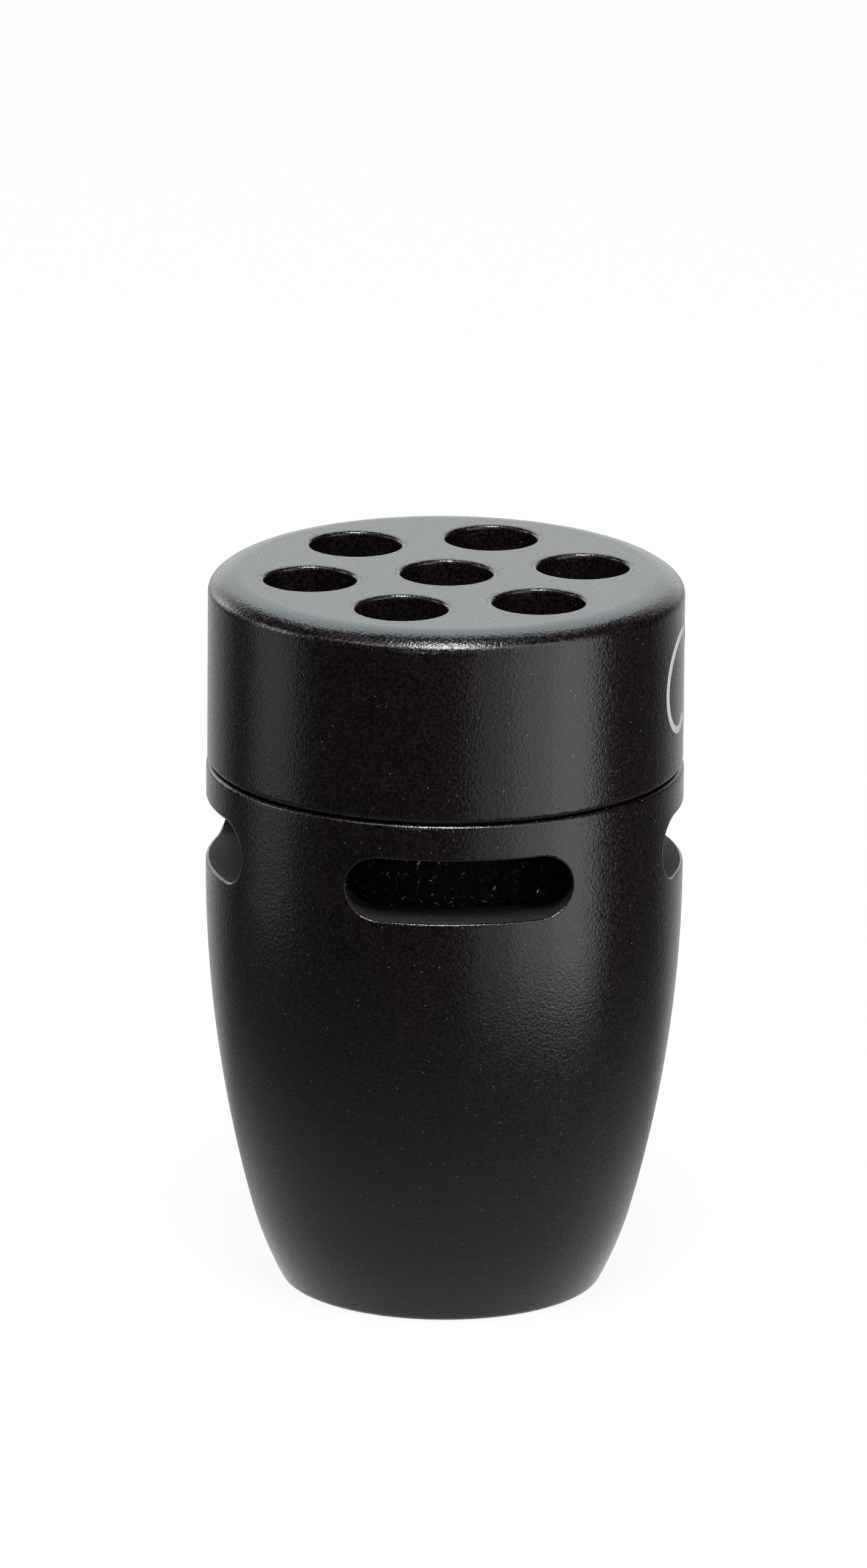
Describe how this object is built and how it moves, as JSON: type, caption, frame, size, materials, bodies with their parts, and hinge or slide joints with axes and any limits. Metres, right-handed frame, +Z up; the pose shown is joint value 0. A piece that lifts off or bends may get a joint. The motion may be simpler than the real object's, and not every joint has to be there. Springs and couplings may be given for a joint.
{
  "type": "condenser microphone capsule",
  "caption": "Screw-on condenser microphone capsule: perforated round cap over a slotted barrel that tapers to a threaded base.",
  "frame": {"origin": "centre of the round base, on the surface that the capsule stands on", "axes": "+Z up along the capsule's axis, from the threaded base to the sound holes; -Y towards the pictured front"},
  "size_m": [0.0166, 0.0166, 0.0254],
  "materials": {
    "cap_paint": "matt black paint on turned metal",
    "body_paint": "matt black paint on turned metal",
    "gauze": "fine black woven gauze",
    "foam": "open-cell black foam",
    "rubber": "black moulded rubber",
    "can": "drawn aluminium",
    "bright_metal": "turned aluminium",
    "brass": "turned brass",
    "gold_film": "metallised film",
    "gold_contact": "gold-plated brass",
    "spacer_film": "thin plastic film",
    "white_plastic": "moulded plastic",
    "insulator": "turned black plastic",
    "board": "green coated circuit board",
    "chip": "fired ceramic with tinned ends",
    "transistor_case": "moulded case with tinned tabs",
    "capacitor_can": "drawn can in a sleeve",
    "felt": "pressed felt",
    "signal_wire": "red insulated wire",
    "ground_wire": "black insulated wire"
  },
  "bodies": {
    "root": {"front_cap": "cap_paint", "body_shell": "body_paint", "front_gauze": "gauze", "front_foam": "foam", "side_foam": "foam", "element_mount": "rubber", "lead_grommet": "rubber", "element_can": "can", "clamp_ring": "bright_metal", "chamber_divider": "bright_metal", "retaining_ring": "bright_metal", "diaphragm_ring": "brass", "back_plate": "brass", "gate_contact_ring": "brass", "diaphragm": "gold_film", "centre_contact": "gold_contact", "ring_contact": "gold_contact", "spacer_ring": "spacer_film", "back_plate_holder": "white_plastic", "spacer_sleeve": "white_plastic", "contact_insulator": "insulator", "element_board": "board", "filter_board": "board", "element_chips": "chip", "filter_chips": "chip", "element_transistor": "transistor_case", "filter_transistor": "transistor_case", "coupling_capacitor": "capacitor_can", "rear_felt": "felt", "signal_lead": "signal_wire", "ground_lead": "ground_wire"}
  },
  "joints": []
}
